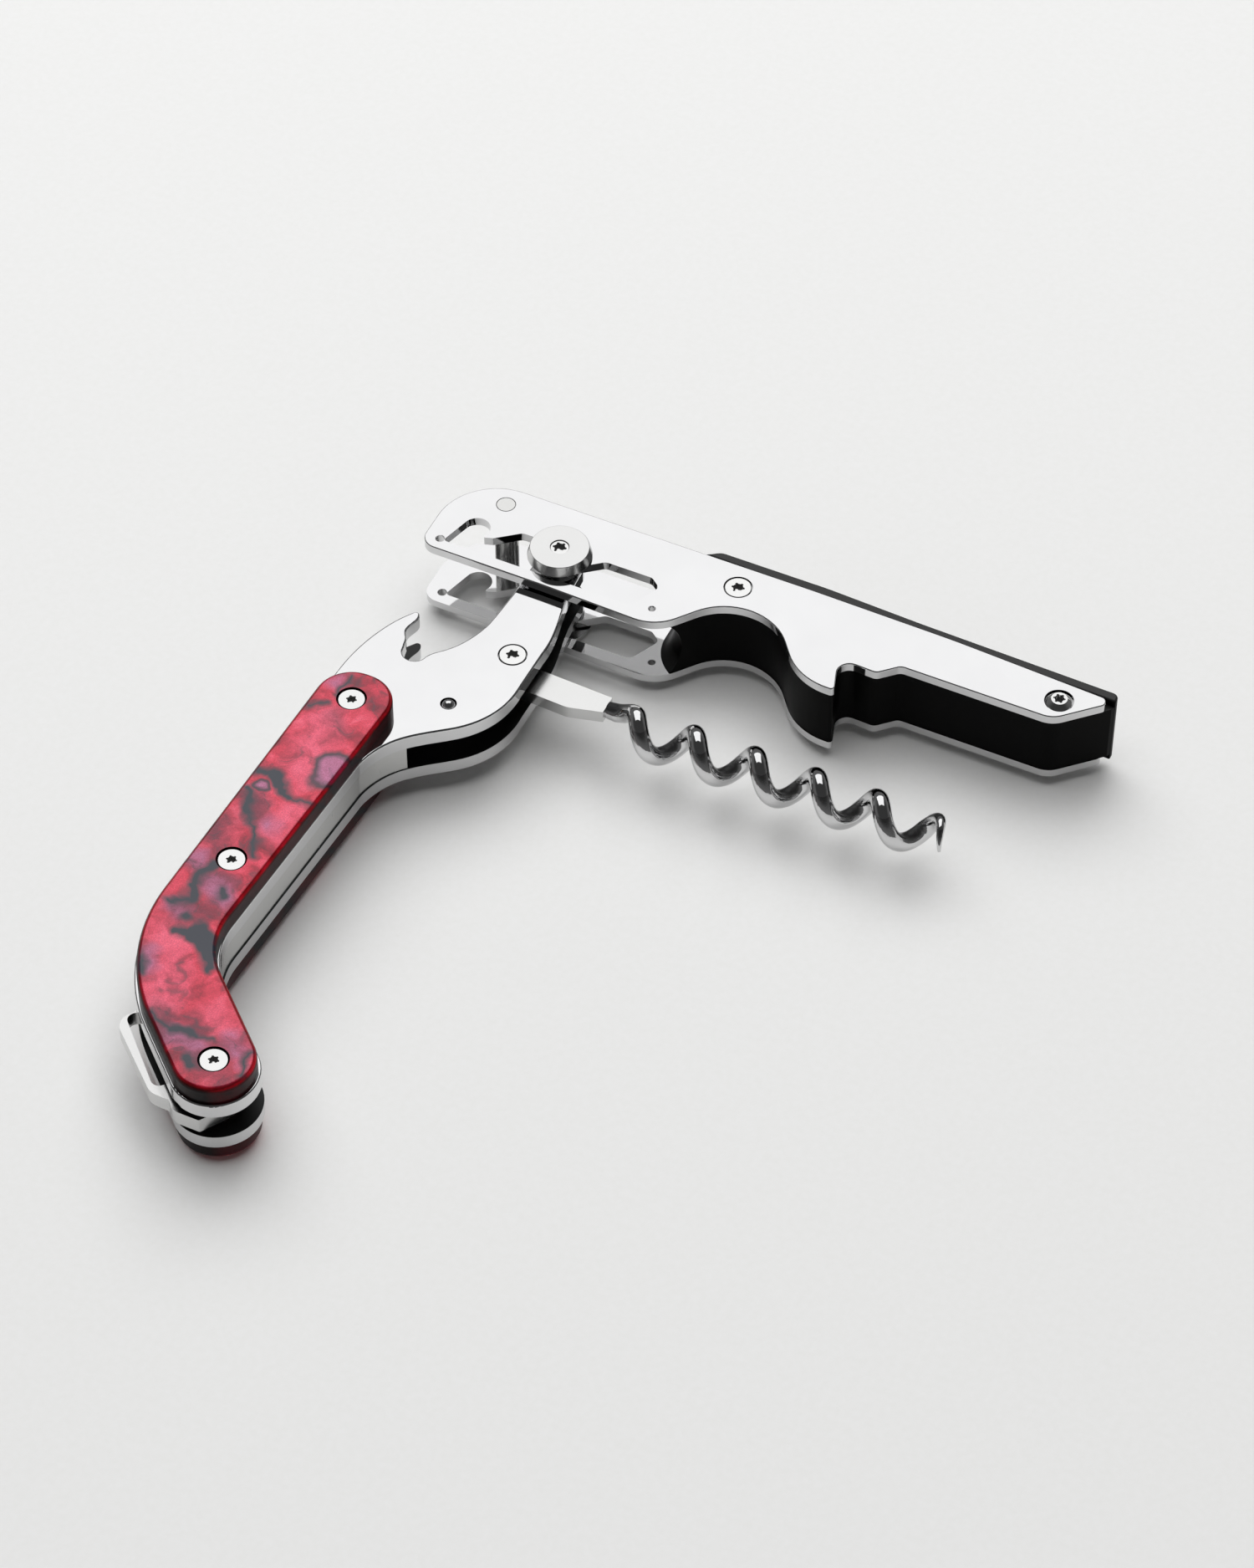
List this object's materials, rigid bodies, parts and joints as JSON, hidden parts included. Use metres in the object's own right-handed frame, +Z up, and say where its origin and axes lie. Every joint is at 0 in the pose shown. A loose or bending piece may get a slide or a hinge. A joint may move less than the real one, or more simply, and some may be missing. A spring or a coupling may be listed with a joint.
{
  "type": "lever corkscrew",
  "caption": "Lever corkscrew with a bent two-plate handle, rounded grip scales, swinging worm, two-plate lever on a roller track and folding foil blade.",
  "frame": {"origin": "centre of the bounding box on the plane the tool rests on, with the worm and lever open", "axes": "+X along the open lever and the worm, +Y from the grip towards the lever's back edge, +Z up through the stack of plates"},
  "size_m": [0.1109, 0.1292, 0.0174],
  "materials": {
    "polished_steel": "mirror polished stainless steel",
    "satin_steel": "satin stainless steel",
    "screw_steel": "polished screw heads",
    "ground_steel": "finely ground stainless steel",
    "bronze_washer": "dark bronze thrust washers",
    "red_scale": "polished pearlescent red acrylic with dark grey swirls",
    "black_insert": "satin black moulded core"
  },
  "bodies": {
    "handle": {"handle_plate_upper": "polished_steel", "handle_plate_lower": "polished_steel", "grip_scale_upper": "red_scale", "grip_scale_lower": "red_scale", "backspacer": "satin_steel", "grip_barrels": "satin_steel", "grip_screws_upper": "screw_steel", "grip_screws_lower": "screw_steel", "detent_pin": "polished_steel", "roller_bush": "satin_steel", "worm_pivot_barrel": "satin_steel", "worm_pivot_screw_upper": "screw_steel", "worm_pivot_screw_lower": "screw_steel", "worm_washers": "bronze_washer", "blade_pivot_barrel": "satin_steel", "blade_pivot_screw_upper": "screw_steel", "blade_pivot_screw_lower": "screw_steel", "blade_washers": "bronze_washer"},
    "worm": {"worm_arm": "ground_steel", "worm": "polished_steel"},
    "blade": {"foil_blade": "ground_steel"},
    "roller": {"roller_axle": "satin_steel", "roller_cap_upper": "ground_steel", "roller_cap_lower": "ground_steel", "roller_screw_upper": "screw_steel", "roller_screw_lower": "screw_steel"},
    "lever": {"lever_plate_upper": "polished_steel", "lever_plate_lower": "polished_steel", "lever_insert": "black_insert", "lever_post": "satin_steel", "lever_barrels": "satin_steel", "lever_flush_screws": "screw_steel", "lever_button_screws": "screw_steel"}
  },
  "joints": [
    {"name": "lever_pivot", "type": "hinge", "parent": "handle", "child": "roller", "pos_m": [-0.03332, 0.05282, 0.0087], "axis": [0, 0, 1], "range_deg": [-5, 90]},
    {"name": "lever_slide", "type": "slide", "parent": "roller", "child": "lever", "axis": [0.974, 0.2264, 0], "range_m": [0, 0.01458]},
    {"name": "worm_pivot", "type": "hinge", "parent": "handle", "child": "worm", "pos_m": [-0.03136, 0.0325, 0.0087], "axis": [0, 0, 1], "range_deg": [-90, 5]},
    {"name": "blade_pivot", "type": "hinge", "parent": "handle", "child": "blade", "pos_m": [-0.033, -0.05832, 0.0087], "axis": [0, 0, 1], "range_deg": [0, 180]}
  ]
}
